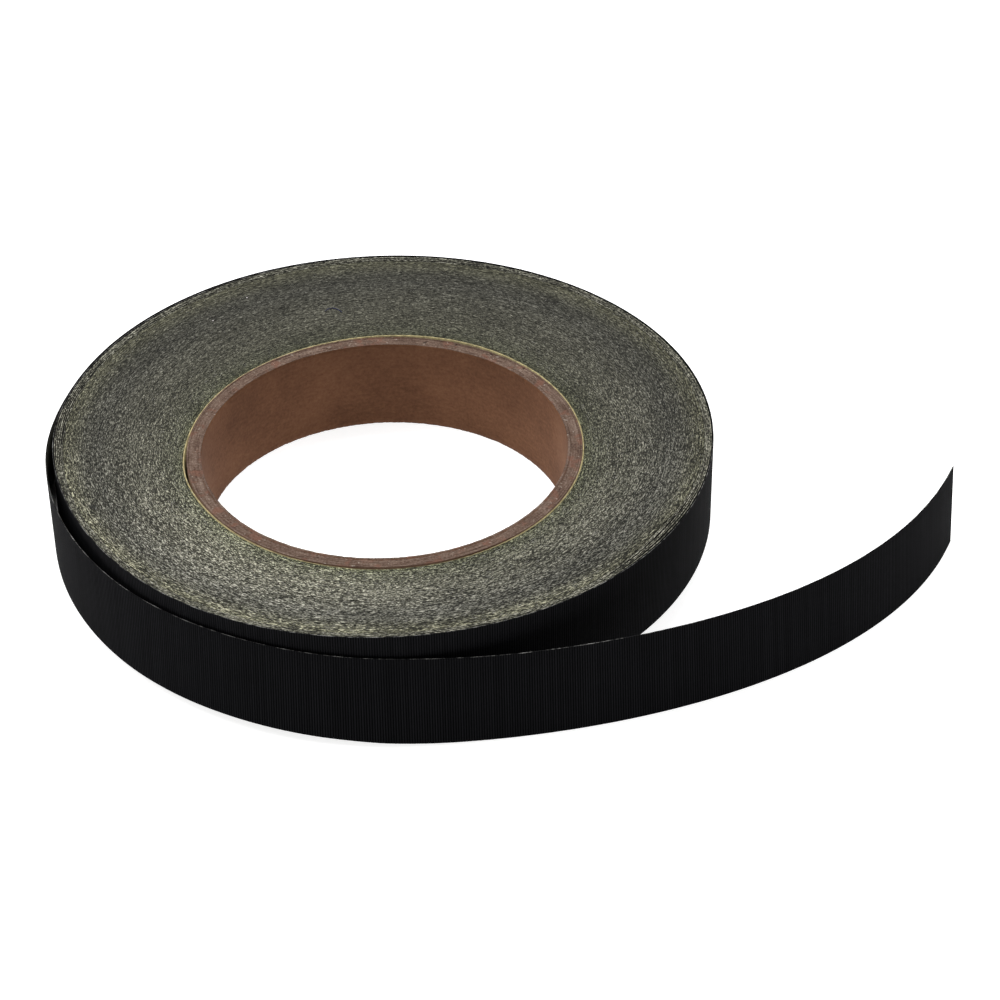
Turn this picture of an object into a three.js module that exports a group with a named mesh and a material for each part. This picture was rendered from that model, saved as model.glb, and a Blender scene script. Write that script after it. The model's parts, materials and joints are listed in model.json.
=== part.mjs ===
// A roll of black adhesive cloth tape lying on its side, with its last turn come loose.
//
// The tape is wound on a short paperboard tube. The turns have crept along the axis as the roll
// was handled, so the pack is a shallow cone whose outside stands higher than the core. The last
// turn has slipped down towards the surface that the roll lies on, and its end leaves the roll
// along the tangent and curves away as a free tail, standing on its edge.
//
// Millimetres, +Z up. The origin is where the roll's axis meets the surface it lies on. The tail
// leaves the roll at the plan angle TANGENT, heading +X.

import * as THREE from 'three';

// ---- driving dimensions ------------------------------------------------------------------

const CORE_BORE_RADIUS = 37.5;      // a 75 mm core
const CORE_HEIGHT = 20.6;           // cut a little longer than the tape is wide
const LINER_THICKNESS = 0.6;        // smooth kraft ply inside the bore
const BOARD_THICKNESS = 1.9;        // spiral-wound grey board
const WRAP_THICKNESS = 0.4;         // kraft ply round the outside
const LEADER_THICKNESS = 0.25;      // pale paper that the tape was started on
const PLY_GAP = 0.05;               // glue line between nested plies

const PACK_RADIUS = 67.0;
const TAPE_WIDTH = 19.0;
const PACK_INNER_LIFT = 1.2;        // lower edge of the first turn above the surface
const PACK_OUTER_LIFT = 5.6;        // the same at the outermost turn

const CLOTH_THICKNESS = 0.2;
const ADHESIVE_THICKNESS = 0.08;
const LAYER_GAP = 0.02;
const ADHESIVE_INSET = 0.2;         // the adhesive stops short of both woven edges
const TURN_CLEARANCE = 0.3;         // air between the roll and its loose last turn
const HINGE_GAP = 0.3;              // between neighbouring lengths of the loose strip

// Plan angles round the roll, in degrees, counted the way the tape runs.
const LAST_TURN_START = -270;
const FIRST_DROP = [-183, -133, 3.4];   // the last turn slides down from, to, and by this much,
const SECOND_DROP = [-123, -68, 2.2];   // and again, until the tail stands on the surface
const PEEL_LINE = -150;             // it can be pulled off the roll from here
const FLEX_LINE = -120;
const TANGENT = -90;

const TAIL_PIECES = 6;
const TAIL_END = [115.5, -13.1];
const TAIL_PULL_START = [39.0, -68.8];
const TAIL_PULL_END = [95.3, -56.9];

const ROUND_STEPS = 96;             // sides of each ring
const ARC_STEP = 5;                 // degrees per side of the loose turn
const TAIL_STEPS = 5;               // sides of each tail length

// ---- derived values ----------------------------------------------------------------------

const LINER_OUTER = CORE_BORE_RADIUS + LINER_THICKNESS;
const BOARD_INNER = LINER_OUTER + PLY_GAP;
const BOARD_OUTER = BOARD_INNER + BOARD_THICKNESS;
const WRAP_INNER = BOARD_OUTER + PLY_GAP;
const WRAP_OUTER = WRAP_INNER + WRAP_THICKNESS;
const LEADER_INNER = WRAP_OUTER + PLY_GAP;
const LEADER_OUTER = LEADER_INNER + LEADER_THICKNESS;
const PACK_INNER = LEADER_OUTER + PLY_GAP;

const TAPE_THICKNESS = ADHESIVE_THICKNESS + LAYER_GAP + CLOTH_THICKNESS;
const STRIP_RADIUS = PACK_RADIUS + TURN_CLEARANCE + TAPE_THICKNESS / 2;

// Distances of each layer's faces from the strip's middle, outward positive.
const CLOTH_FACES = [TAPE_THICKNESS / 2 - CLOTH_THICKNESS, TAPE_THICKNESS / 2];
const ADHESIVE_FACES = [-TAPE_THICKNESS / 2, -TAPE_THICKNESS / 2 + ADHESIVE_THICKNESS];

// ---- materials ---------------------------------------------------------------------------

function material(color, roughness) {
  return new THREE.MeshStandardMaterial({ color, roughness, metalness: 0 });
}

const LINER_KRAFT = 0xa9794f;
const GREY_BOARD = 0x85766c;
const WRAP_KRAFT = 0x9a7350;
const LEADER_YELLOW = 0xc9bc6a;
const TURNS_OLIVE = 0x4d5143;
const CLOTH_BLACK = 0x141416;
const ADHESIVE_OLIVE = 0x2a2b1f;

// ---- shapes ------------------------------------------------------------------------------

const roll = new THREE.Group();

function addPart(name, geometry, color, roughness) {
  const mesh = new THREE.Mesh(geometry, material(color, roughness));
  mesh.name = name;
  roll.add(mesh);
}

// A ring about the roll's axis, from its section's corners as [radius, height].
function ringFromSection(corners) {
  const outline = [...corners, corners[0]].map(([r, z]) => new THREE.Vector2(r, z));
  const ring = new THREE.LatheGeometry(outline, ROUND_STEPS);
  ring.rotateX(Math.PI / 2);
  return ring;
}

function plainRing(inner, outer, low, high) {
  return ringFromSection([[inner, low], [outer, low], [outer, high], [inner, high]]);
}

// One place on the strip's middle line, with the direction that points away from the roll.
function placeOnTurn(degrees) {
  const angle = THREE.MathUtils.degToRad(degrees);
  const outward = new THREE.Vector2(Math.cos(angle), Math.sin(angle));
  return { point: outward.clone().multiplyScalar(STRIP_RADIUS), outward, lift: liftAt(degrees) };
}

// How far the strip's lower edge stands above the surface.
function liftAt(degrees) {
  return [FIRST_DROP, SECOND_DROP].reduce((lift, [from, to, drop]) => (
    lift - drop * THREE.MathUtils.smoothstep(degrees, from, to)), PACK_OUTER_LIFT);
}

const tailLine = new THREE.CubicBezierCurve(
  new THREE.Vector2(0, -STRIP_RADIUS),
  new THREE.Vector2(...TAIL_PULL_START),
  new THREE.Vector2(...TAIL_PULL_END),
  new THREE.Vector2(...TAIL_END),
);
const TAIL_LENGTH = tailLine.getLength();

function placeOnTail(distance) {
  const share = THREE.MathUtils.clamp(distance / TAIL_LENGTH, 0, 1);
  const heading = tailLine.getTangentAt(share);
  const outward = new THREE.Vector2(heading.y, -heading.x);
  const degrees = TANGENT + THREE.MathUtils.radToDeg(distance / STRIP_RADIUS);
  return { point: tailLine.getPointAt(share), outward, lift: liftAt(degrees) };
}

function placesAlong(placeAt, from, to, steps) {
  const places = [];
  for (let i = 0; i <= steps; i += 1) {
    places.push(placeAt(from + ((to - from) * i) / steps));
  }
  return places;
}

// One layer of the strip: a thin wall standing on edge along its places. Both long faces are
// upright, and the wall rises and falls with each place's lift.
function layer(places, faces, inset) {
  const [inner, outer] = faces;
  const along = places.map(({ point, outward }) => point.clone().addScaledVector(outward, outer));
  const back = places.map(({ point, outward }) => point.clone().addScaledVector(outward, inner));
  const shape = new THREE.Shape([...along, ...back.reverse()]);
  const height = TAPE_WIDTH - 2 * inset;
  const wall = new THREE.ExtrudeGeometry(shape, { depth: height, bevelEnabled: false });
  wall.translate(0, 0, inset);
  const position = wall.attributes.position;
  for (let i = 0; i < position.count; i += 1) {
    const here = new THREE.Vector2(position.getX(i), position.getY(i));
    const nearest = places.reduce((best, place) => (
      place.point.distanceTo(here) < best.point.distanceTo(here) ? place : best));
    position.setZ(i, position.getZ(i) + nearest.lift);
  }
  return wall;
}

function addStrip(label, places) {
  addPart(`${label}_cloth`, layer(places, CLOTH_FACES, 0), CLOTH_BLACK, 0.75);
  addPart(`${label}_adhesive`, layer(places, ADHESIVE_FACES, ADHESIVE_INSET), ADHESIVE_OLIVE, 0.4);
}

// ---- paperboard core ---------------------------------------------------------------------

addPart('core_liner', plainRing(CORE_BORE_RADIUS, LINER_OUTER, 0, CORE_HEIGHT), LINER_KRAFT, 0.8);
addPart('core_board', plainRing(BOARD_INNER, BOARD_OUTER, 0, CORE_HEIGHT), GREY_BOARD, 0.95);
addPart('core_wrap', plainRing(WRAP_INNER, WRAP_OUTER, 0, CORE_HEIGHT), WRAP_KRAFT, 0.85);

// ---- wound tape --------------------------------------------------------------------------

const LEADER_LOW = PACK_INNER_LIFT;
const LEADER_HIGH = PACK_INNER_LIFT + TAPE_WIDTH;
addPart('leader_strip', plainRing(LEADER_INNER, LEADER_OUTER, LEADER_LOW, LEADER_HIGH), LEADER_YELLOW, 0.7);

addPart('wound_turns', ringFromSection([
  [PACK_INNER, PACK_INNER_LIFT],
  [PACK_RADIUS, PACK_OUTER_LIFT],
  [PACK_RADIUS, PACK_OUTER_LIFT + TAPE_WIDTH],
  [PACK_INNER, PACK_INNER_LIFT + TAPE_WIDTH],
]), TURNS_OLIVE, 0.9);

// ---- loose last turn ---------------------------------------------------------------------

const HALF_GAP_DEGREES = THREE.MathUtils.radToDeg(HINGE_GAP / 2 / STRIP_RADIUS);

function turnPlaces(from, to) {
  return placesAlong(placeOnTurn, from, to, Math.round((to - from) / ARC_STEP));
}

addStrip('held_turn', turnPlaces(LAST_TURN_START, PEEL_LINE - HALF_GAP_DEGREES));
addStrip('loose_turn_1', turnPlaces(PEEL_LINE + HALF_GAP_DEGREES, FLEX_LINE - HALF_GAP_DEGREES));
addStrip('loose_turn_2', turnPlaces(FLEX_LINE + HALF_GAP_DEGREES, TANGENT - HALF_GAP_DEGREES));

// ---- free tail ---------------------------------------------------------------------------

for (let i = 0; i < TAIL_PIECES; i += 1) {
  const isLast = i === TAIL_PIECES - 1;
  const from = (TAIL_LENGTH * i) / TAIL_PIECES + HINGE_GAP / 2;
  const to = (TAIL_LENGTH * (i + 1)) / TAIL_PIECES - (isLast ? 0 : HINGE_GAP / 2);
  addStrip(`tail_${i + 1}`, placesAlong(placeOnTail, from, to, TAIL_STEPS));
}

export default roll;
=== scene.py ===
"""Looks of the grip tape roll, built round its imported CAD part.

Metres, +Z up, in the CAD part's frame. The roll's axis is the Z axis. Plan angles are in degrees
round that axis and are counted the way the tape runs, so the loose last turn goes from -270 to
-90 and the free tail follows it.
"""
import json
import math

import bpy
import numpy as np
from mathutils import Matrix, Vector


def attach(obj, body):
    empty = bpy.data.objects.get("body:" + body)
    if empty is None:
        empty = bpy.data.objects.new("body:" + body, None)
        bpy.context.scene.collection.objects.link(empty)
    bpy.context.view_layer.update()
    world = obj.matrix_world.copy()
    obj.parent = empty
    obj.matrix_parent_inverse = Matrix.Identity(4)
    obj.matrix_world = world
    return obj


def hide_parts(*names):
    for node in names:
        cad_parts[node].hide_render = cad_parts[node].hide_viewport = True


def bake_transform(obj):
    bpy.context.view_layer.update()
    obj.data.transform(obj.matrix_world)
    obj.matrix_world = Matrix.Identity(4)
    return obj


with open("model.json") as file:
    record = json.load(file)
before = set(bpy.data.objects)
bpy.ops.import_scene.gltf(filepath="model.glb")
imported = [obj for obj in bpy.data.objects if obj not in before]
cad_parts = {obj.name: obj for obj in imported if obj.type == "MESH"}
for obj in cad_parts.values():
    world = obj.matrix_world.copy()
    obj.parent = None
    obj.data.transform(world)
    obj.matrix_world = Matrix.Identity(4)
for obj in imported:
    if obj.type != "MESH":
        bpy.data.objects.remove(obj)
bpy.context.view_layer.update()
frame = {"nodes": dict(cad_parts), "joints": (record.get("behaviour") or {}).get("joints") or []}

MM = 0.001
rng = np.random.default_rng(41)

# ---- measures read from the CAD part -------------------------------------------------------


def ring_of(node):
    """Inner radius, outer radius, lowest and highest point of a CAD ring."""
    co = np.array([v.co for v in frame["nodes"][node].data.vertices])
    r = np.hypot(co[:, 0], co[:, 1])
    return r.min(), r.max(), co[:, 2].min(), co[:, 2].max()


def lower_edge_at(node, outer):
    """Height of a CAD ring's lower edge at its outer or its inner radius."""
    co = np.array([v.co for v in frame["nodes"][node].data.vertices])
    r = np.hypot(co[:, 0], co[:, 1])
    near = r > r.max() - MM / 2 if outer else r < r.min() + MM / 2
    return co[near, 2].min()


LINER_INNER, LINER_OUTER, _, CORE_TOP = ring_of("core_liner")
BOARD_INNER, BOARD_OUTER = ring_of("core_board")[:2]
WRAP_INNER, WRAP_OUTER = ring_of("core_wrap")[:2]
LEADER_INNER, LEADER_OUTER, LEADER_LOW, LEADER_HIGH = ring_of("leader_strip")
PACK_INNER, PACK_OUTER, _, PACK_TOP = ring_of("wound_turns")
INNER_LIFT = lower_edge_at("wound_turns", outer=False)
OUTER_LIFT = lower_edge_at("wound_turns", outer=True)
TAPE_WIDTH = PACK_TOP - OUTER_LIFT
STRIP_RADIUS = math.hypot(*frame["joints"][0]["pos_m"][:2])

# ---- measures of the tape ------------------------------------------------------------------

CLOTH_FACES = (-0.05 * MM, 0.15 * MM)      # from the strip's middle, outward positive
ADHESIVE_FACES = (-0.15 * MM, -0.07 * MM)
ADHESIVE_INSET = 0.2 * MM
RIB_PITCH = 0.49 * MM
RIB_STEPS = 4                              # length steps across one rib
RIB_DEPTH = 0.035 * MM
STEP = RIB_PITCH / RIB_STEPS
TURN_PITCH = 0.28 * MM                     # of the last few turns
WOUND_PITCH = 0.235 * MM                   # of the tightly wound turns

WOUND_START = -630.0                       # the outermost wound turn, up to the loose turn
TURN_START, TURN_END = -270.0, -90.0       # the loose turn
PEEL = -150.0                              # where the loose turn hinges on the roll
DROPS = ((-183.0, -133.0, 3.4 * MM),       # it slides down from, to, and by this much,
         (-123.0, -68.0, 2.2 * MM))        # and again, until the tail stands on the surface
BULGE = ((-200.0, -172.0), (-166.0, -130.0), 1.15 * MM)     # it stands off the roll, rising, falling
FLARE_START, FLARE_END = -170.0, 2.0 * MM  # its lower edge leans out, by this much at the tangent
LEAN_PER_LIFT = 1.17                       # and leans out more where it hangs above the surface,
LEAN_RUN = (-8 * MM, 8 * MM)               # from before the tangent to just after it
UPPER_REACH, LOWER_REACH = 5 * MM, 7 * MM  # the two edges are smoothed over this length each way

WOUND_INSET = 0.6 * MM                     # the outermost wound turn lies this far inside the loose,
CLIMB = 0.3 * MM                           # climbs out by this much
CLIMB_RUN = (-440, -270)                   # between these plan angles,
LEAVING = (-272, -236)                     # and leaves the roll between these

# Where the wound turns' rim isn't round and level: size, plan angle and width of each bump.
RIM_BULGE = (0.56 * MM, -184, 14)
RIM_DENT = (0.45 * MM, -156, 24)
RIM_RISE = (0.45 * MM, -160, 27)
DENT_LEAN = 1.6                            # the lower edge leans out by this share of the dent

# The tail's two edges, as the four points of a cubic curve each.
TAIL_TOP = np.array([(0, -67.45), (39.25, -68.10), (94.14, -57.04), (115.05, -12.95)]) * MM
TAIL_BOTTOM = np.array([(0, -69.05), (39.05, -70.84), (96.59, -56.67), (115.92, -13.25)]) * MM


def smoothstep(x, low, high):
    """0 below low, 1 above high, and an even rise between them."""
    t = np.clip((np.asarray(x, float) - low) / (high - low), 0, 1)
    return t * t * (3 - 2 * t)


def bezier(points, t):
    """Points of a cubic curve at the shares t of its run."""
    t = np.asarray(t, float)[:, None]
    a, b, c, d = points
    return (1 - t) ** 3 * a + 3 * (1 - t) ** 2 * t * b + 3 * (1 - t) * t**2 * c + t**3 * d


# ---- meshes --------------------------------------------------------------------------------


def add_mesh(name, points, quads, others=(), attributes=None, smooth=True):
    """A mesh object from points, four-cornered faces and any other faces."""
    points = np.asarray(points, np.float32).reshape(-1, 3)
    quads = np.asarray(quads, np.int32).reshape(-1, 4)
    counts = np.array([4] * len(quads) + [len(f) for f in others], np.int32)
    corners = np.concatenate([quads.ravel(), *[np.asarray(f, np.int32) for f in others]])
    mesh = bpy.data.meshes.new(name)
    mesh.vertices.add(len(points))
    mesh.vertices.foreach_set("co", points.ravel())
    mesh.loops.add(len(corners))
    mesh.loops.foreach_set("vertex_index", corners.astype(np.int32))
    mesh.polygons.add(len(counts))
    starts = np.concatenate([[0], np.cumsum(counts)[:-1]])
    mesh.polygons.foreach_set("loop_start", starts.astype(np.int32))
    mesh.polygons.foreach_set("loop_total", counts)
    mesh.update(calc_edges=True)
    mesh.validate()
    mesh.polygons.foreach_set("use_smooth", np.full(len(mesh.polygons), smooth))
    for key, values in (attributes or {}).items():
        layer = mesh.attributes.new(key, "FLOAT_VECTOR", "POINT")
        layer.data.foreach_set("vector", np.asarray(values, np.float32).ravel())
    obj = bpy.data.objects.new(name, mesh)
    bpy.context.scene.collection.objects.link(obj)
    return obj


def grid_quads(rows, cols, closed_rows, closed_cols, first=0):
    """Faces over a grid of points numbered row by row. Either direction can close on itself."""
    i = np.arange(rows if closed_rows else rows - 1)[:, None]
    j = np.arange(cols if closed_cols else cols - 1)[None, :]
    i2, j2 = (i + 1) % rows, (j + 1) % cols
    corners = np.broadcast_arrays(i * cols + j, i2 * cols + j, i2 * cols + j2, i * cols + j2)
    return np.stack(corners, -1).reshape(-1, 4) + first


def band_noise(steps, knots, size):
    """A smooth random line that closes on itself, from that many random knots."""
    values = rng.standard_normal(knots) * size
    at = np.arange(steps) / steps * knots
    return np.interp(at, np.arange(knots + 1), np.append(values, values[0]))


def ring_mesh(name, radius, height):
    """A closed ring: radius and height are grids of (steps round, corners of the section)."""
    steps, corners = radius.shape
    angle = np.arange(steps)[:, None] / steps * 2 * np.pi
    points = np.stack([radius * np.cos(angle), radius * np.sin(angle), height], -1)
    return add_mesh(name, points, grid_quads(steps, corners, True, True)[:, ::-1])


# ---- the strip's path ----------------------------------------------------------------------


def bump_at(degrees, centre, width):
    """A smooth bump of height 1 in the plan angle, round the whole circle."""
    away = (np.asarray(degrees, float) - centre + 180) % 360 - 180
    return np.exp(-((away / width) ** 2))


def rim_bulge(degrees):
    """The wound turns stand out a little on the side where the loose turn leaves them."""
    size, centre, width = RIM_BULGE
    return size * bump_at(degrees, centre, width)


def rim_dent(degrees):
    """Beside their bulge the wound turns draw in, all but the outermost one's lower edge."""
    size, centre, width = RIM_DENT
    return size * bump_at(degrees, centre, width)


def rim_rise(degrees):
    """The wound turns stand a little higher beside their bulge."""
    size, centre, width = RIM_RISE
    return size * bump_at(degrees, centre, width)


def turn_radius(degrees):
    """Radius of the strip's middle: wound on the roll, climbing, then a little clear of it."""
    wound = STRIP_RADIUS - WOUND_INSET + CLIMB * smoothstep(degrees, *CLIMB_RUN)
    wound = wound + rim_bulge(degrees) - rim_dent(degrees)
    loosened = smoothstep(degrees, *LEAVING)
    rising, falling, height = BULGE
    bulge = height * smoothstep(degrees, *rising) * (1 - smoothstep(degrees, *falling))
    return wound * (1 - loosened) + (STRIP_RADIUS + bulge) * loosened


def lift_along(degrees):
    """Height of the strip's lower edge at a plan angle, counted on along the tail as if wound."""
    lift = OUTER_LIFT + rim_rise(degrees) * (degrees < TURN_START)
    for start, end, drop in DROPS:
        lift = lift - drop * smoothstep(degrees, start, end)
    return lift


def smoothed(line, reach):
    """A line of points, averaged along its length over a window of about twice the reach."""
    count = 2 * round(reach / STEP) + 1
    window = np.hanning(count + 2)[1:-1]
    window /= window.sum()
    padded = np.pad(line, ((count // 2,) * 2, (0, 0)), mode="reflect", reflect_type="odd")
    return np.stack([np.convolve(padded[:, k], window, "valid") for k in range(line.shape[1])], 1)


class Strip:
    """Evenly spaced places along the tape, from a plan angle on the roll to the tail's end."""

    def __init__(self, start):
        span = math.radians(TURN_END - start) * STRIP_RADIUS
        degrees = np.linspace(start, TURN_END, round(span / STEP) + 1)
        angle = np.radians(degrees)
        out = np.stack([np.cos(angle), np.sin(angle)], -1)
        radius = turn_radius(degrees)
        flare = FLARE_END * np.clip((degrees - FLARE_START) / (TURN_END - FLARE_START), 0, 1)
        flare = flare + DENT_LEAN * rim_dent(degrees) * (degrees < TURN_START)

        fine = np.linspace(0, 1, 4001)
        middle = (bezier(TAIL_TOP, fine) + bezier(TAIL_BOTTOM, fine)) / 2
        run = np.append(0, np.cumsum(np.linalg.norm(np.diff(middle, axis=0), axis=1)))
        self.tail_length = run[-1]
        even = np.linspace(0, run[-1], round(run[-1] / STEP) + 1)[1:]
        t = np.interp(even, run, fine)

        upper = np.concatenate([out * radius[:, None], bezier(TAIL_TOP, t)])
        lower = np.concatenate([out * (radius + flare)[:, None], bezier(TAIL_BOTTOM, t)])
        self.along = np.concatenate([np.radians(degrees - TURN_END) * STRIP_RADIUS, even])
        self.lift = lift_along(TURN_END + np.degrees(self.along / STRIP_RADIUS))
        self.upper = smoothed(upper, UPPER_REACH)
        heading = np.gradient(self.upper, axis=0)
        heading /= np.linalg.norm(heading, axis=1, keepdims=True)
        self.outward = np.stack([heading[:, 1], -heading[:, 0]], -1)
        lean = LEAN_PER_LIFT * self.lift * smoothstep(self.along, *LEAN_RUN)
        self.lower = smoothed(lower + self.outward * lean[:, None], LOWER_REACH)

    def part(self, low, high):
        """Numbers of the places from low to high, which are distances from the tangent line."""
        first, last = (int(np.abs(self.along - end).argmin()) for end in (low, high))
        return np.arange(first, last + 1)


RIB_SHAPE = np.array([0.0, 0.8, 1.0, 0.8])  # height of a rib at each length step, as a share
FRAY = 0.012 * MM                          # raggedness of the cloth's cut edges
EDGE_FLAT = 0.1 * MM                       # the ribs fade out over this width at the cut edges


def strip_piece(name, strip, low, high, faces, inset, ribs, across):
    """A length of one layer of the tape, as a thin closed mesh that stands on its edge.

    across lists the heights of the outer face's rows, from the lower edge up, as shares of the
    width. The inner face has fewer rows and no ribs.
    """
    places = strip.part(low, high)
    inner_across = across[:: max(1, len(across) // 5)]
    if inner_across[-1] != across[-1]:
        inner_across = [*inner_across, across[-1]]
    n, m = len(places), len(across) + len(inner_across)
    along = strip.along[places]
    phase = np.round(along / STEP).astype(int)
    rib = RIB_SHAPE[phase % RIB_STEPS]
    weights = np.random.default_rng(7).uniform(0.75, 1.25, 8192)
    weight = weights[(phase // RIB_STEPS) % len(weights)]
    frays = np.random.default_rng(11).standard_normal(32768)
    fray = frays[phase % len(frays)]
    points = np.zeros((n, m, 3))
    where = np.zeros((n, m, 3))
    thickness = faces[1] - faces[0]
    for j in range(m):
        outer = j < len(across)
        share = across[j] if outer else inner_across[m - 1 - j]
        edge = min(share, 1 - share) * TAPE_WIDTH
        rounding = 0.3 * thickness * (1 - min(1, edge / (0.35 * thickness))) ** 2
        if outer:
            relief = RIB_DEPTH * weight * (rib - 1) if ribs else np.zeros(n)
            offset = faces[1] + relief * min(1, edge / EDGE_FLAT) - rounding
        else:
            offset = np.full(n, faces[0] + rounding)
        height = inset + share * (TAPE_WIDTH - 2 * inset)
        if ribs and share in (across[0], across[-1]):
            height = height + FRAY * fray
        xy = strip.lower[places] + (strip.upper[places] - strip.lower[places]) * share
        points[:, j, :2] = xy + strip.outward[places] * np.broadcast_to(offset, n)[:, None]
        points[:, j, 2] = strip.lift[places] + height
        where[:, j, 0] = along
        where[:, j, 1] = height
        where[:, j, 2] = 1.0 if outer else 0.0
    points[:, :, 2] = np.maximum(points[:, :, 2], 0)
    ends = [np.arange(m)[::-1], (n - 1) * m + np.arange(m)]
    quads = grid_quads(n, m, False, True)
    return add_mesh(name, points, quads, ends, {"tape": where})


CLOTH_ROWS = [0, 0.004, 0.012, 0.06, 0.2, 0.35, 0.5, 0.65, 0.8, 0.94, 0.988, 0.996, 1]
ADHESIVE_ROWS = [0, 0.25, 0.5, 0.75, 1]

# ---- materials -----------------------------------------------------------------------------


class Look:
    """A procedural material, with short ways to add and join its nodes."""

    def __init__(self, name, **settings):
        self.material = bpy.data.materials.new(name)
        self.material.use_nodes = True
        self.tree = self.material.node_tree
        self.shader = self.tree.nodes["Principled BSDF"]
        for key, value in settings.items():
            self.shader.inputs[key.replace("_", " ")].default_value = value

    def feed(self, socket, value):
        """Link an input to another node's output, or set its value."""
        if isinstance(value, bpy.types.NodeSocket):
            self.tree.links.new(value, socket)
        else:
            socket.default_value = value

    def node(self, kind, inputs=None, **settings):
        made = self.tree.nodes.new("ShaderNode" + kind)
        for key, value in settings.items():
            setattr(made, key, value)
        for key, value in (inputs or {}).items():
            self.feed(made.inputs[key], value)
        return made

    def sum(self, operation, *values):
        return self.node("Math", dict(enumerate(values)), operation=operation).outputs[0]

    def noise(self, vector, scale=1.0, detail=2.0, roughness=0.5):
        return self.node("TexNoise", {"Vector": vector, "Scale": scale, "Detail": detail,
                                      "Roughness": roughness}).outputs["Fac"]

    def ramp(self, value, stops, smooth=False):
        made = self.node("ValToRGB", {"Fac": value})
        ramp = made.color_ramp
        ramp.interpolation = "EASE" if smooth else "LINEAR"
        while len(ramp.elements) < len(stops):
            ramp.elements.new(0.5)
        for element, (at, color) in zip(ramp.elements, stops):
            element.position = at
            element.color = (*((color,) * 3 if isinstance(color, float) else color), 1)
        return made.outputs["Color"]

    def mix(self, share, a, b, mode="MIX"):
        made = self.node("Mix", data_type="RGBA", blend_type=mode)
        for index, value in ((0, share), (6, a), (7, b)):
            if isinstance(value, tuple) and len(value) == 3:
                value = (*value, 1)
            self.feed(made.inputs[index], value)
        return made.outputs[2]

    def bump(self, height, distance, strength=1.0):
        made = self.node("Bump", {"Height": height, "Distance": distance, "Strength": strength})
        self.tree.links.new(made.outputs[0], self.shader.inputs["Normal"])

    def color(self, value):
        self.feed(self.shader.inputs["Base Color"], value)

    def place(self):
        """Place in the frame, its distance from the axis, and the direction from the axis."""
        at = self.node("TexCoord").outputs["Object"]
        apart = self.node("SeparateXYZ", {0: at}).outputs
        flat = self.node("CombineXYZ", {0: apart[0], 1: apart[1]}).outputs[0]
        radius = self.node("VectorMath", {0: flat}, operation="LENGTH").outputs["Value"]
        way = self.node("VectorMath", {0: flat}, operation="NORMALIZE").outputs["Vector"]
        way = self.node("SeparateXYZ", {0: way}).outputs
        return at, apart, radius, way

    def round_vector(self, way, radius, tangential, radial):
        """A vector for noise drawn out along the turns."""
        return self.node("CombineXYZ", {
            0: self.sum("MULTIPLY", way[0], tangential),
            1: self.sum("MULTIPLY", way[1], tangential),
            2: self.sum("MULTIPLY", radius, radial)}).outputs[0]


SMUDGE = (-58.0 * MM, -21.56 * MM)         # a dark spot on the turns' upper side
SHEEN_WAY = (-0.53, -0.85)                  # the side where the turns' upper side is painted palest, a painted sheen for light off the thread ends


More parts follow.
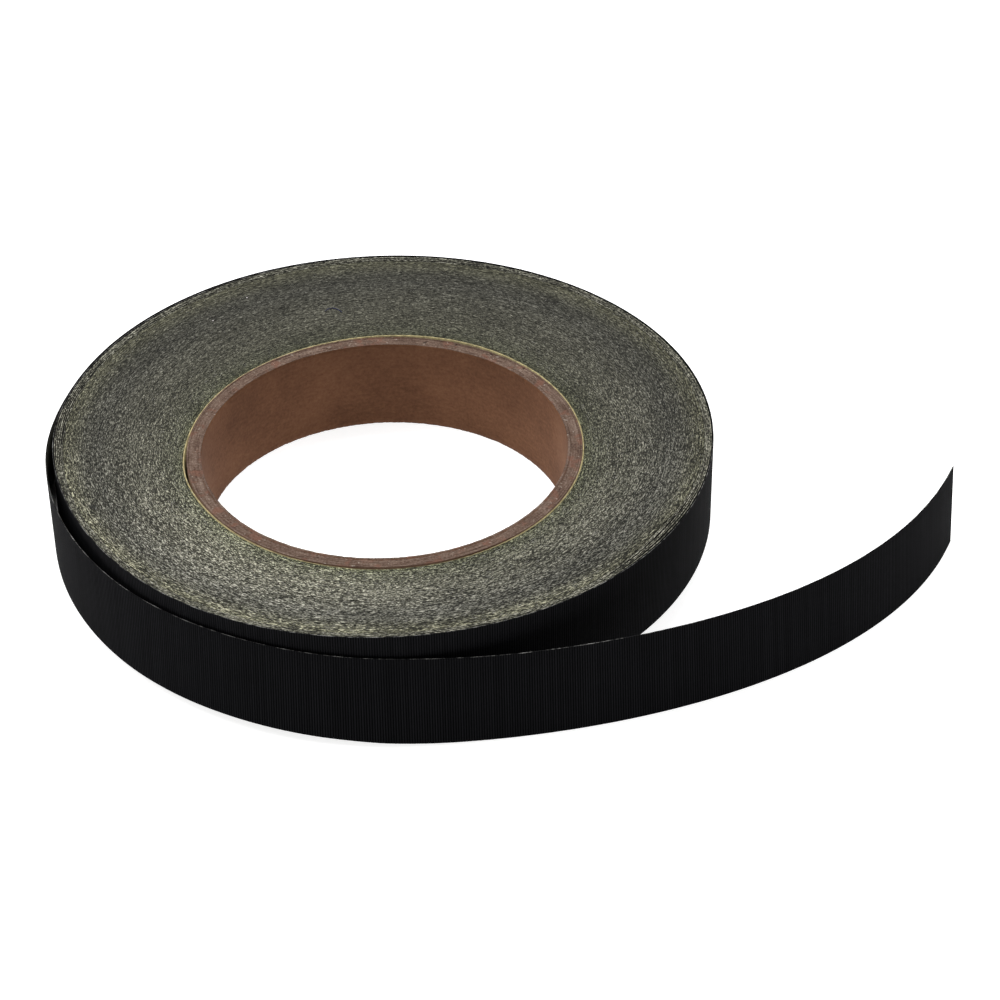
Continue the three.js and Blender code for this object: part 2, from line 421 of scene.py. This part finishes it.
def turn_edges_look():
    """The cut edges of the wound turns: short pale thread ends on near-black cloth."""
    look = Look("turn_edges", Roughness=0.8, Specular_IOR_Level=0.12)
    at, apart, radius, way = look.place()
    share = look.sum("DIVIDE", radius, PACK_OUTER)
    fine = look.noise(look.round_vector(way, radius, 130, 6600), detail=1.0)
    dash = look.noise(look.round_vector(way, radius, 60, 4800), detail=1.5, roughness=0.6)
    long = look.noise(look.round_vector(way, radius, 9, 3300), detail=2.0)
    patch = look.noise(look.round_vector(way, radius, 3.4, 170), detail=3.0)
    rim = look.ramp(share, [(0.955, 0.0), (0.985, 1.0)])
    speck = look.sum("MULTIPLY_ADD", dash, 0.60, look.sum("MULTIPLY", fine, 0.48))
    speck = look.sum("SUBTRACT", speck, 0.04)
    run = look.sum("MULTIPLY_ADD", rim, 0.26, 0.20)
    speck = look.sum("MULTIPLY_ADD", look.sum("SUBTRACT", long, 0.5), run, speck)
    speck = look.sum("MULTIPLY_ADD", look.sum("SUBTRACT", patch, 0.5), 0.10, speck)
    # Painted glints: the speckle's contrast is raised on the front side of the roll and lowered at the
    # back, standing for light catching the thread ends.
    front = look.ramp(look.sum("MULTIPLY_ADD", way[1], -0.5, 0.5), [(0.05, 0.55), (0.75, 1.06)], True)
    speck = look.sum("MULTIPLY_ADD", look.sum("SUBTRACT", speck, 0.52), front, 0.52)
    base = look.ramp(speck, [(0.40, (0.009, 0.009, 0.008)), (0.47, (0.028, 0.028, 0.024)),
                             (0.53, (0.078, 0.077, 0.068)), (0.59, (0.188, 0.187, 0.172)),
                             (0.67, (0.430, 0.427, 0.405))])
    # Tint by radius, greenish near the core and yellowish at the rim, which is the turns' own colour,
    # plus painted shade and light: a darker band at 0.87 to 0.91 of the outer radius and a lighter band
    # outside it stand for the slopes of the face.
    tint_and_shade = look.ramp(share, [(0.612, (0.92, 0.95, 0.62)), (0.635, (0.98, 0.99, 0.76)),
                             (0.70, (1.04, 1.02, 0.85)), (0.80, (1.02, 1.00, 0.87)),
                             (0.870, (0.76, 0.75, 0.68)), (0.910, (0.74, 0.73, 0.64)),
                             (0.955, (1.06, 1.04, 0.80)), (0.985, (1.04, 1.02, 0.74))])
    base = look.mix(1.0, base, tint_and_shade, "MULTIPLY")
    # Painted sheen: the turns' upper side is lightened towards the front left and darkened elsewhere,
    # standing for light catching the fibres.
    ramp_input = look.sum("MULTIPLY_ADD", way[1], SHEEN_WAY[1] / 2, 0.5)
    ramp_input = look.sum("MULTIPLY_ADD", way[0], SHEEN_WAY[0] / 2, ramp_input)
    painted_sheen = look.ramp(ramp_input, [(0.0, 0.62), (0.25, 0.64), (0.5, 0.70), (0.80, 0.78), (0.90, 0.92),
                            (0.985, 1.22)])
    base = look.mix(1.0, base, painted_sheen, "MULTIPLY")
    away = look.node("VectorMath", {0: look.node("CombineXYZ", {0: apart[0], 1: apart[1]}).outputs[0],
                                    1: (*SMUDGE, 0.0)}, operation="DISTANCE").outputs["Value"]
    smudge = look.ramp(look.sum("DIVIDE", away, 4 * MM), [(0.12, 0.8), (0.32, 0.0)], True)
    look.color(look.mix(smudge, base, (0.012, 0.012, 0.011)))
    look.bump(speck, 0.06 * MM, 0.5)
    return look.material


def open_edges_look():
    """The cut edges of the last few turns: each turn is a pale line, broken along its length."""
    look = Look("open_edges", Roughness=0.8, Specular_IOR_Level=0.12)
    at, apart, radius, way = look.place()
    dash = look.noise(look.round_vector(way, radius, 95, 3400), detail=2.0, roughness=0.65)
    long = look.noise(look.round_vector(way, radius, 9, 3600), detail=2.0)
    tone = look.sum("MULTIPLY_ADD", dash, 0.7, look.sum("MULTIPLY", long, 0.3))
    look.color(look.ramp(tone, [(0.41, (0.010, 0.010, 0.008)), (0.48, (0.050, 0.049, 0.036)),
                                (0.55, (0.150, 0.146, 0.112)), (0.64, (0.360, 0.352, 0.290))]))
    look.bump(dash, 0.04 * MM, 0.5)
    return look.material


def cloth_look():
    """Black ribbed cloth. Its cut edges show as a thin, broken, paler line."""
    look = Look("black_cloth", Roughness=0.75, Specular_IOR_Level=0.02)
    tape = look.node("Attribute", attribute_name="tape").outputs["Vector"]
    apart = look.node("SeparateXYZ", {0: tape}).outputs
    ribs = look.sum("DIVIDE", apart[0], RIB_PITCH)
    count = look.sum("FLOOR", ribs)
    each = look.node("TexWhiteNoise", {"W": count}, noise_dimensions="1D").outputs["Value"]
    groove = look.sum("ABSOLUTE", look.sum("MULTIPLY_ADD", look.sum("FRACT", ribs), 2.0, -1.0))
    across = look.node("CombineXYZ", {0: look.sum("MULTIPLY", apart[0], 5000.0),
                                      1: look.sum("MULTIPLY", apart[1], 2600.0)}).outputs[0]
    thread = look.noise(across, detail=2.0)
    cloud = look.noise(tape, 160.0, detail=3.0)
    tone = look.sum("MULTIPLY_ADD", each, 0.40, look.sum("MULTIPLY", thread, 0.40))
    tone = look.sum("MULTIPLY_ADD", cloud, 0.40, tone)
    # Painted shade: the colour darkens into the grooves between the ribs and is near black where two
    # ribs meet.
    rib = look.ramp(groove, [(0.10, (0.0125, 0.0125, 0.0142)), (0.50, (0.0060, 0.0060, 0.0070)),
                             (0.80, (0.0006, 0.0006, 0.0008))])
    dark = look.mix(1.0, rib, look.ramp(tone, [(0.25, 0.55), (0.95, 1.0)]), "MULTIPLY")
    lint = look.ramp(look.noise(tape, 3400.0, detail=1.0), [(0.80, 0.0), (0.84, 0.8)])
    color = look.mix(lint, dark, (0.03, 0.03, 0.03))
    top = look.ramp(look.sum("DIVIDE", apart[1], TAPE_WIDTH), [(0.9985, 0.0), (0.9995, 1.0)])
    low = look.ramp(look.sum("DIVIDE", apart[1], TAPE_WIDTH), [(0.0005, 1.0), (0.0015, 0.0)])
    along = look.node("CombineXYZ", {0: apart[0]}).outputs[0]
    ramp_input = look.noise(along, 230.0, detail=5.0, roughness=0.75)
    broken = look.ramp(ramp_input, [(0.47, 0.03), (0.64, 1.0)])
    edge = look.sum("MULTIPLY", look.sum("MAXIMUM", top, low), broken)
    look.color(look.mix(edge, color, (0.290, 0.288, 0.275)))
    look.bump(thread, 0.02 * MM, 0.5)
    return look.material


def adhesive_look():
    """Olive-black adhesive, smeared along the tape."""
    look = Look("adhesive", Roughness=0.45, Specular_IOR_Level=0.20)
    tape = look.node("Attribute", attribute_name="tape").outputs["Vector"]
    apart = look.node("SeparateXYZ", {0: tape}).outputs
    stretched = look.node("CombineXYZ", {0: look.sum("MULTIPLY", apart[0], 900.0),
                                         1: look.sum("MULTIPLY", apart[1], 160.0)}).outputs[0]
    smear = look.noise(stretched, detail=4.0, roughness=0.6)
    wide = look.noise(tape, 120.0, detail=2.0)
    tone = look.sum("MULTIPLY_ADD", smear, 0.6, look.sum("MULTIPLY", wide, 0.4))
    look.color(look.ramp(tone, [(0.35, (0.006, 0.006, 0.004)), (0.55, (0.014, 0.014, 0.010)),
                                (0.7, (0.028, 0.027, 0.019))]))
    look.bump(smear, 0.03 * MM, 0.7)
    return look.material


def paper_look(name, dark, middle, light, grain=1.0):
    """Smooth kraft paper, with fine fibres and faint lines round the tube."""
    look = Look(name, Roughness=0.80, Specular_IOR_Level=0.15)
    at, apart, radius, way = look.place()
    fibre = look.noise(at, 1700.0 * grain, detail=4.0, roughness=0.65)
    cloud = look.noise(at, 60.0, detail=3.0)
    drawn = look.node("CombineXYZ", {0: look.sum("MULTIPLY", way[0], 20.0),
                                     1: look.sum("MULTIPLY", way[1], 20.0),
                                     2: look.sum("MULTIPLY", apart[2], 1500.0)}).outputs[0]
    roller = look.noise(drawn, detail=2.0)
    tone = look.sum("MULTIPLY_ADD", fibre, 0.35, look.sum("MULTIPLY", cloud, 0.45))
    tone = look.sum("MULTIPLY_ADD", roller, 0.2, tone)
    color = look.ramp(tone, [(0.34, dark), (0.5, middle), (0.66, light)])
    flecks = look.noise(at, 900.0, detail=2.0)
    look.color(look.mix(look.ramp(flecks, [(0.70, 0.0), (0.78, 0.35)]), color, dark))
    look.bump(fibre, 0.02 * MM, 0.4)
    return look.material


def board_look():
    """Cut grey-brown board: ragged plies, pale fibres and a few dark holes."""
    look = Look("grey_board", Roughness=0.95, Specular_IOR_Level=0.1)
    at, apart, radius, way = look.place()
    ply = look.noise(look.round_vector(way, radius, 5, 2600), detail=2.0)
    fibre = look.noise(at, 2100.0, detail=4.0, roughness=0.7)
    cloud = look.noise(at, 240.0, detail=3.0)
    tone = look.sum("MULTIPLY_ADD", fibre, 0.5, look.sum("MULTIPLY", ply, 0.3))
    tone = look.sum("MULTIPLY_ADD", cloud, 0.2, tone)
    color = look.ramp(tone, [(0.36, (0.036, 0.022, 0.016)), (0.47, (0.080, 0.050, 0.037)),
                             (0.57, (0.135, 0.095, 0.074)), (0.68, (0.230, 0.175, 0.140))])
    warm = look.noise(at, 420.0, detail=2.0)
    color = look.mix(look.ramp(warm, [(0.56, 0.0), (0.68, 0.6)]), color, (0.135, 0.062, 0.042))
    pale = look.noise(at, 1300.0, detail=1.0)
    color = look.mix(look.ramp(pale, [(0.70, 0.0), (0.76, 0.6)]), color, (0.30, 0.26, 0.22))
    # Painted shade: a few near-black spots stand for the shade inside small holes in the board.
    dark = look.noise(at, 560.0, detail=1.0)
    color = look.mix(look.ramp(dark, [(0.23, 0.85), (0.28, 0.0)]), color, (0.016, 0.010, 0.008))
    look.color(color)
    look.bump(fibre, 0.10 * MM, 0.7)
    return look.material


def plain_look(name, a, b, roughness=0.8, scale=2200.0):
    """One colour, slightly mottled."""
    look = Look(name, Roughness=roughness, Specular_IOR_Level=0.3)
    at = look.place()[0]
    look.color(look.ramp(look.noise(at, scale, detail=3.0), [(0.35, a), (0.65, b)]))
    return look.material


LOOKS = {
    "turns": turn_edges_look(),
    "open_edges": open_edges_look(),
    "cloth": cloth_look(),
    "adhesive": adhesive_look(),
    "liner": paper_look("kraft_liner", (0.085, 0.036, 0.017), (0.135, 0.060, 0.030),
                        (0.185, 0.088, 0.045)),
    "board": board_look(),
    "wrap": paper_look("kraft_wrap", (0.05, 0.028, 0.016), (0.105, 0.062, 0.040),
                       (0.16, 0.10, 0.065), 1.4),
    "leader": plain_look("leader_paper", (0.19, 0.155, 0.07), (0.37, 0.31, 0.15), 0.7, 900.0),
    "turn_walls": plain_look("turn_walls", (0.0016, 0.0016, 0.0018), (0.004, 0.004, 0.004), 0.9),
    "thread": plain_look("pale_thread", (0.12, 0.12, 0.10), (0.36, 0.35, 0.31), 0.7),
    "navy": plain_look("navy_thread", (0.006, 0.008, 0.04), (0.014, 0.020, 0.085), 0.6),
    "speck": plain_look("white_lint", (0.5, 0.45, 0.45), (0.72, 0.68, 0.68), 0.9),
}


def dress(obj, look, walls=None):
    """Give a piece its look, and another one to its upright faces if walls names it."""
    obj.data.materials.append(LOOKS[look])
    if walls:
        obj.data.materials.append(LOOKS[walls])
        for face in obj.data.polygons:
            face.material_index = int(abs(face.normal.z) < 0.6)
    return obj


# ---- core ----------------------------------------------------------------------------------


def core_ring(name, inner, outer, low, high, steps, top_rows, wall_rows, ragged, rough, wall_wave=0.0):
    """A paper ring with a rough cut at both ends. top_rows split its ends, wall_rows its height."""
    top_r = np.linspace(inner, outer, top_rows)
    heights = np.linspace(low, high, wall_rows)
    section_r = np.concatenate([np.full(wall_rows, inner), top_r[1:], [outer], top_r[::-1][1:-1]])
    section_z = np.concatenate([heights, np.full(top_rows - 1, high), np.full(top_rows - 1, low)])
    radius = np.tile(section_r, (steps, 1))
    height = np.tile(section_z, (steps, 1))
    upper = section_z > high - 1e-9
    lower = section_z < low + 1e-9
    # The cut runs unevenly, its grain is rough, and each ply is cut at a height of its own.
    edge_top = band_noise(steps, steps // 3, ragged) + band_noise(steps, 24, ragged)
    edge_low = band_noise(steps, steps // 3, ragged) + band_noise(steps, 24, ragged)
    height[:, upper] -= np.abs(edge_top)[:, None] * 0.6
    height[:, lower] += np.abs(edge_low)[:, None]
    fuzz = rng.standard_normal(radius.shape) * rough
    height[:, upper] -= np.abs(fuzz[:, upper])
    height[:, lower] += np.abs(fuzz[:, lower])
    ply = rng.standard_normal(len(section_r)) * rough * 1.5
    height[:, upper] -= np.abs(ply[upper])[None, :]
    for j in range(1, wall_rows - 1):
        radius[:, j] += band_noise(steps, 40, wall_wave) + rng.standard_normal(steps) * wall_wave * 0.25
    return ring_mesh(name, radius, height)


CORE_STEPS = 960
PLY_GAP = 0.01 * MM                        # keeps the rings' walls apart
liner = core_ring("core_liner_paper", LINER_INNER, LINER_OUTER, 0, CORE_TOP, CORE_STEPS, 4, 22,
                  0.05 * MM, 0.02 * MM, 0.012 * MM)
dress(liner, "board", walls="liner")
board = core_ring("core_board_plies", LINER_OUTER + PLY_GAP, WRAP_INNER - PLY_GAP, 0, CORE_TOP,
                  CORE_STEPS, 14, 4, 0.04 * MM, 0.05 * MM)
dress(board, "board")
wrap = core_ring("core_wrap_paper", WRAP_INNER, WRAP_OUTER, 0, CORE_TOP, CORE_STEPS, 4, 4,
                 0.05 * MM, 0.02 * MM)
dress(wrap, "board", walls="wrap")
for obj, node_name in ((liner, "core_liner"), (board, "core_board"), (wrap, "core_wrap")):
    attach(obj, "roll")
    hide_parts(node_name)

# ---- wound turns ---------------------------------------------------------------------------

GAPS = [0.16, 0.34, 0.18, 0.30, 0.14, 0.06]  # mm between the last turns where they part most
OPEN_TURNS = len(GAPS)                     # turns made one by one, with the outermost one
PARTED_AT, PARTED_WIDTH = -36, 13          # plan angle where they part, and over what width
PACK_EDGE = STRIP_RADIUS - WOUND_INSET - (OPEN_TURNS - 0.5) * TURN_PITCH - 0.01 * MM
RIM_REACH = 7 * MM                         # the rim's shape fades out over this width
CORE_GAP = 0.50 * MM                       # how far the first turns stand off the core,
CORE_GAP_AT, CORE_GAP_WIDTH = 188, 15      # and at what plan angle and width


def lift_at(radius):
    """How far the cone of wound turns stands above the surface at a radius."""
    share = np.clip((radius - PACK_INNER) / (PACK_OUTER - PACK_INNER), 0, 1.02)
    return INNER_LIFT + (OUTER_LIFT - INNER_LIFT) * share


def near_rim(radius):
    """1 at the edge of the wound turns made as one, falling to 0 inside it."""
    return np.clip(1 - (PACK_EDGE - radius) / RIM_REACH, 0, 1)


def parted(degrees):
    """How much the last turns part at a plan angle, as a share."""
    return bump_at(degrees, PARTED_AT, PARTED_WIDTH)


def core_gap(degrees):
    """How far the leader and the first turns stand off the core at a plan angle."""
    return CORE_GAP * bump_at(degrees, CORE_GAP_AT, CORE_GAP_WIDTH)


def leader_rise(degrees):
    """The leader and the first turns stand highest at the back right and lowest at the front."""
    low = 0.26 * bump_at(degrees, 272, 34) + 0.20 * bump_at(degrees, CORE_GAP_AT, CORE_GAP_WIDTH)
    return (0.20 + 0.54 * bump_at(degrees, 66, 40) - low) * MM


def turns_ring(name, inner, outer, steps):
    """Wound turns as one ring whose two ends are stepped, turn by turn."""
    turns = max(2, round((outer - inner) / WOUND_PITCH))
    edges = np.linspace(inner, outer, turns + 1)
    rows = np.sort(np.concatenate([edges, edges[:-1] + 0.5 * np.diff(edges)]))
    degrees = np.arange(steps) / steps * 360
    ups = np.full((steps, len(rows)), -0.07 * MM)        # the grooves between the turns
    own = rng.standard_normal(len(rows)) * 0.03 * MM
    for j in range(1, len(rows), 2):
        ups[:, j] = own[j] + band_noise(steps, 90, 0.02 * MM)
    ups += rng.standard_normal(ups.shape) * 0.018 * MM
    low_rows = np.append(rows[::-1][::4], rows[0])
    lows = rng.standard_normal((steps, len(low_rows))) * 0.03 * MM
    radius = np.concatenate([np.tile(rows, (steps, 1)), np.tile(low_rows, (steps, 1))], 1)
    near_core = np.clip(1 - (radius - PACK_INNER) / (4 * MM), 0, 1)
    height = np.concatenate([lift_at(rows)[None, :] + TAPE_WIDTH + ups,
                             lift_at(low_rows)[None, :] + lows], 1)
    height += near_core**2 * 0.5 * leader_rise(degrees)[:, None] * (height > CORE_TOP / 2)
    front_rise = 0.16 * MM * bump_at(degrees, 272, 40)   # the very first turns, at the front
    height += near_core**8 * front_rise[:, None] * (height > CORE_TOP / 2)
    radius = radius + near_core * core_gap(degrees)[:, None]
    height += near_rim(radius) * rim_rise(degrees)[:, None]
    inward = rim_dent(degrees) + parted(degrees) * sum(GAPS) * MM
    radius -= near_rim(radius) * inward[:, None]
    return ring_mesh(name, radius, height)


middle = (PACK_INNER + PACK_EDGE) / 2
inner_turns = dress(turns_ring("wound_turns_inner", PACK_INNER, middle, 1120), "turns")
outer_turns = dress(turns_ring("wound_turns_outer", middle, PACK_EDGE, 1260), "turns")
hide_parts("wound_turns")
for obj in (inner_turns, outer_turns):
    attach(obj, "roll")

leader = core_ring("leader_strip_paper", LEADER_INNER, LEADER_OUTER, LEADER_LOW, LEADER_HIGH,
                   CORE_STEPS, 4, 4, 0.03 * MM, 0.01 * MM)
for vertex in leader.data.vertices:
    turned_by = math.degrees(math.atan2(vertex.co.y, vertex.co.x))
    spread = 1 + float(core_gap(turned_by)) / LEADER_INNER
    vertex.co.x *= spread
    vertex.co.y *= spread
    if vertex.co.z > CORE_TOP / 2:
        vertex.co.z += float(leader_rise(turned_by))
dress(leader, "leader")
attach(leader, "roll")
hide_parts("leader_strip")

# The last wound turns: thin strips that have parted a little over part of the way round.
OPEN_TURN_STEPS = 1000


def open_turn(number, steps):
    """Radii and heights of one of the last turns, number 1 being next under the outermost."""
    degrees = np.arange(steps) / steps * 360
    parted_by = parted(degrees) * sum(GAPS[:number]) * MM
    bulge = rim_bulge(degrees) * (1 - number / OPEN_TURNS)
    middle_r = STRIP_RADIUS - WOUND_INSET - number * TURN_PITCH - parted_by + bulge
    middle_r = middle_r - rim_dent(degrees) + band_noise(steps, 30, 0.012 * MM)
    half = 0.12 * MM                       # half of the tape's thickness
    lift = lift_at(middle_r) + band_noise(steps, 60, 0.02 * MM) + rng.standard_normal() * 0.05 * MM
    lift = lift + rim_rise(degrees)
    top = lift + TAPE_WIDTH
    fuzz = rng.standard_normal(steps) * 0.02 * MM
    radius = np.stack([middle_r - half, middle_r - half * 0.8, middle_r + half * 0.8, middle_r + half,
                       middle_r + half, middle_r - half], 1)
    height = np.stack([top - 0.04 * MM, top + fuzz, top + fuzz, top - 0.04 * MM, lift, lift], 1)
    return radius, height


points, faces, turn_length = [], [], 0
for number in range(1, OPEN_TURNS):
    radius, height = open_turn(number, OPEN_TURN_STEPS)
    angle = np.arange(len(radius))[:, None] / len(radius) * 2 * np.pi
    points.append(np.stack([radius * np.cos(angle), radius * np.sin(angle), height], -1).reshape(-1, 3))
    faces.append(grid_quads(*radius.shape, True, True, (number - 1) * radius.size)[:, ::-1])
    turn_length += 2 * math.pi * radius.mean()
last_turns = add_mesh("last_wound_turns", np.concatenate(points), np.concatenate(faces))
dress(last_turns, "open_edges", walls="turn_walls")
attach(last_turns, "roll")

# ---- the strip -----------------------------------------------------------------------------


def along_of(degrees):
    """Distance along the strip from the tangent line, for a plan angle on the roll."""
    return math.radians(degrees - TURN_END) * STRIP_RADIUS


strip = Strip(WOUND_START)
TAIL = strip.tail_length
outermost = strip_piece("outermost_wound_turn", strip, along_of(WOUND_START), along_of(TURN_START),
                        CLOTH_FACES, 0, True, CLOTH_ROWS)
dress(outermost, "cloth")
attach(outermost, "roll")

# Each length: name, ends, two body names and where a bend between them would start and end (these four
# are not used below), and the CAD lengths it stands for.
spans = [
    ("last_turn_held", along_of(TURN_START), along_of(-135), "roll", "loose_turn_1",
     along_of(PEEL - 1.5), along_of(-135), ["held_turn"]),
    ("last_turn_loose", along_of(-135), along_of(-105), "loose_turn_1", "loose_turn_2",
     along_of(-135), along_of(-105), ["loose_turn_1"]),
    ("tail_root", along_of(-105), TAIL / 12, "loose_turn_2", "tail_1",
     along_of(-105), TAIL / 12, ["loose_turn_2"]),
]
for k in range(1, 6):
    low, high = TAIL * (2 * k - 1) / 12, TAIL * (2 * k + 1) / 12
    stands_for = [f"tail_{k}"] + (["tail_6"] if k == 5 else [])
    spans.append((f"tail_length_{k}", low, TAIL if k == 5 else high, f"tail_{k}", f"tail_{k + 1}",
                  low, high, stands_for))
for label, low, high, a, b, bend_from, bend_to, stands_for in spans:
    for layer, faces, inset, ribs, rows in (
            ("cloth", CLOTH_FACES, 0, True, CLOTH_ROWS),
            ("adhesive", ADHESIVE_FACES, ADHESIVE_INSET, False, ADHESIVE_ROWS)):
        obj = strip_piece(f"{label}_{layer}", strip, low, high, faces, inset, ribs, rows)
        dress(obj, layer)
        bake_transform(obj)
        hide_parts(*[f"{n}_{layer}" for n in stands_for])

# ---- thread ends and lint ------------------------------------------------------------------


def tubes(name, starts, ways, lengths, widths, bends):
    """Short thin threads: three-sided, in three lengths, each with its own bend."""
    n = len(starts)
    ways = ways / np.linalg.norm(ways, axis=1, keepdims=True)
    side = np.cross(ways, [0, 0, 1.0])
    side /= np.linalg.norm(side, axis=1, keepdims=True)
    up = np.cross(side, ways)
    points = np.zeros((n, 4, 3, 3))
    for i, t in enumerate((-0.5, -0.17, 0.17, 0.5)):
        centre = starts + ways * (lengths * t)[:, None] + side * (bends * (t * t - 0.08))[:, None]
        width = widths * (0.55 if i in (0, 3) else 1.0)
        for j in range(3):
            turn = 2 * np.pi * j / 3
            out = side * math.cos(turn) + up * math.sin(turn)
            points[:, i, j] = centre + out * (width / 2)[:, None]
    one = grid_quads(4, 3, False, True)
    quads = (one[None] + (np.arange(n) * 12)[:, None, None]).reshape(-1, 4)
    ends = [[k * 12 + j for j in (2, 1, 0)] for k in range(n)]
    ends += [[k * 12 + 9 + j for j in (0, 1, 2)] for k in range(n)]
    return add_mesh(name, points, quads, ends)


def thread_ends(name, count):
    """Short ends of thread, lying on the turns' upper cut edges and mostly along them."""
    radius = np.sqrt(rng.uniform(PACK_INNER**2, PACK_EDGE**2, count))
    angle = rng.uniform(0, 2 * np.pi, count)
    z = lift_at(radius) + TAPE_WIDTH + 0.03 * MM + near_rim(radius) * rim_rise(np.degrees(angle))
    starts = np.stack([radius * np.cos(angle), radius * np.sin(angle), z], 1)
    lean = rng.normal(0, 0.16, count)
    ways = np.stack([-np.sin(angle + lean), np.cos(angle + lean), rng.normal(0, 0.05, count)], 1)
    lengths = rng.uniform(0.3, 1.1, count) * MM
    widths = rng.uniform(0.04, 0.085, count) * MM
    return tubes(name, starts, ways, lengths, widths, rng.normal(0, 0.12, count) * MM)


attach(dress(thread_ends("thread_ends_upper", 5200), "thread"), "roll")


def on_turns(x, y, up=0.0):
    """A point on the upper side of the wound turns, from millimetres."""
    return Vector((x * MM, y * MM, float(lift_at(math.hypot(x, y) * MM)) + TAPE_WIDTH + up * MM))


def curved_thread(name, ends_and_middle, width, steps=24):
    """A round thread along a smooth curve through three points."""
    a, b, c = ends_and_middle
    pull = b * 2 - (a + c) / 2
    line = [(1 - t) ** 2 * a + 2 * (1 - t) * t * pull + t * t * c
            for t in np.linspace(0, 1, steps).tolist()]
    points = []
    for i, here in enumerate(line):
        ahead = (line[min(i + 1, steps - 1)] - line[max(i - 1, 0)]).normalized()
        side = ahead.cross(Vector((0, 0, 1))).normalized()
        upward = side.cross(ahead)
        thin = width / 2 * (0.5 if i in (0, steps - 1) else 1)
        points += [here + (side * math.cos(turn) + upward * math.sin(turn)) * thin
                   for turn in np.arange(6) / 6 * 2 * math.pi]
    ends = [np.arange(6)[::-1], (steps - 1) * 6 + np.arange(6)]
    return add_mesh(name, points, grid_quads(steps, 6, False, True), ends)


def crumb(name, centre, size):
    """A small lumpy crumb of lint."""
    rows, cols = 7, 10
    tilt = np.linspace(0.15, math.pi - 0.15, rows)[:, None]
    turn = (np.arange(cols) / cols * 2 * math.pi)[None, :]
    ball = np.stack([np.sin(tilt) * np.cos(turn), np.sin(tilt) * np.sin(turn),
                     -0.6 * np.cos(tilt) + 0 * turn], -1)
    ball = ball * (1 + rng.uniform(-0.25, 0.25, (rows, cols, 1))) * size / 2 + np.array(centre)
    ends = [np.arange(cols)[::-1], (rows - 1) * cols + np.arange(cols)]
    return add_mesh(name, ball, grid_quads(rows, cols, False, True), ends)


NAVY_THREAD = [(-11.77, 49.36, 0.12), (-10.02, 50.30, 0.16), (-8.08, 48.99, 0.12)]
CRUMBS = [(-35.95, 45.57, 0.05), (-28.69, 53.54, 0.05)]
navy = curved_thread("navy_lint_thread", [on_turns(*place) for place in NAVY_THREAD], 0.16 * MM)
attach(dress(navy, "navy"), "roll")
for number, place in enumerate(CRUMBS):
    lint = crumb(f"white_lint_crumb_{number + 1}", on_turns(*place), 0.34 * MM)
    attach(dress(lint, "speck"), "roll")

# ---- floor, light, camera ------------------------------------------------------------------

FLOOR_GREY, FLOOR_GLOW, WORLD_GLOW = 0.55, 0.82, 0.28
floor_mesh = bpy.data.meshes.new("floor")
reach = 14.0
floor_mesh.from_pydata([(-reach, -reach, 0), (reach, -reach, 0), (reach, reach, 0), (-reach, reach, 0)],
                       [], [(0, 1, 2, 3)])
floor = bpy.data.objects.new("floor", floor_mesh)
floor.location.z = -0.05 * MM
bpy.context.scene.collection.objects.link(floor)
floor_look = Look("floor", Roughness=0.9, Specular_IOR_Level=0.1)
floor_look.shader.inputs["Base Color"].default_value = (FLOOR_GREY, FLOOR_GREY, FLOOR_GREY, 1)
floor_look.shader.inputs["Emission Color"].default_value = (1, 1, 1, 1)
floor_look.shader.inputs["Emission Strength"].default_value = FLOOR_GLOW
floor_mesh.materials.append(floor_look.material)


def area_light(name, place, target, size, power):
    """A white rectangular light that faces a target."""
    data = bpy.data.lights.new(name, "AREA")
    data.shape = "RECTANGLE"
    data.size, data.size_y = size
    data.energy = power
    light = bpy.data.objects.new(name, data)
    light.location = place
    light.rotation_mode = "QUATERNION"
    light.rotation_quaternion = (Vector(target) - Vector(place)).to_track_quat("-Z", "Y")
    bpy.context.scene.collection.objects.link(light)


area_light("top_back", (0.0, 0.55, 0.95), (0, 0, 0), (1.0, 0.7), 15)
area_light("left_fill", (-0.75, 0.15, 0.85), (0, 0, 0), (0.6, 0.8), 8)
area_light("right_fill", (0.80, 0.10, 0.80), (0, 0, 0), (0.6, 0.8), 3)

world = bpy.data.worlds.new("studio")
world.use_nodes = True
world.node_tree.nodes["Background"].inputs["Color"].default_value = (1, 1, 1, 1)
world.node_tree.nodes["Background"].inputs["Strength"].default_value = WORLD_GLOW
bpy.context.scene.world = world
bpy.context.scene.view_settings.view_transform = "Standard"

CAMERA_AT = (0, -0.4886, 0.3684)
CAMERA_LENS = 105.36
ELEVATION = math.radians(35.8709 + 0.6996)
YAW = math.radians(2.7524)
ROLL = math.radians(-0.742)
level = math.cos(ELEVATION)
forward = Vector((math.sin(YAW) * level, math.cos(YAW) * level, -math.sin(ELEVATION)))
right = forward.cross(Vector((0, 0, 1))).normalized()
up = right.cross(forward)
right, up = (math.cos(ROLL) * right + math.sin(ROLL) * up,
             -math.sin(ROLL) * right + math.cos(ROLL) * up)
camera_data = bpy.data.cameras.new("camera")
camera_data.lens = CAMERA_LENS
camera_data.sensor_width = 36
camera = bpy.data.objects.new("camera", camera_data)
turned = Matrix((right, up, -forward)).transposed().to_4x4()
turned.translation = Vector(CAMERA_AT)
camera.matrix_world = turned
bpy.context.scene.collection.objects.link(camera)
bpy.context.scene.camera = camera
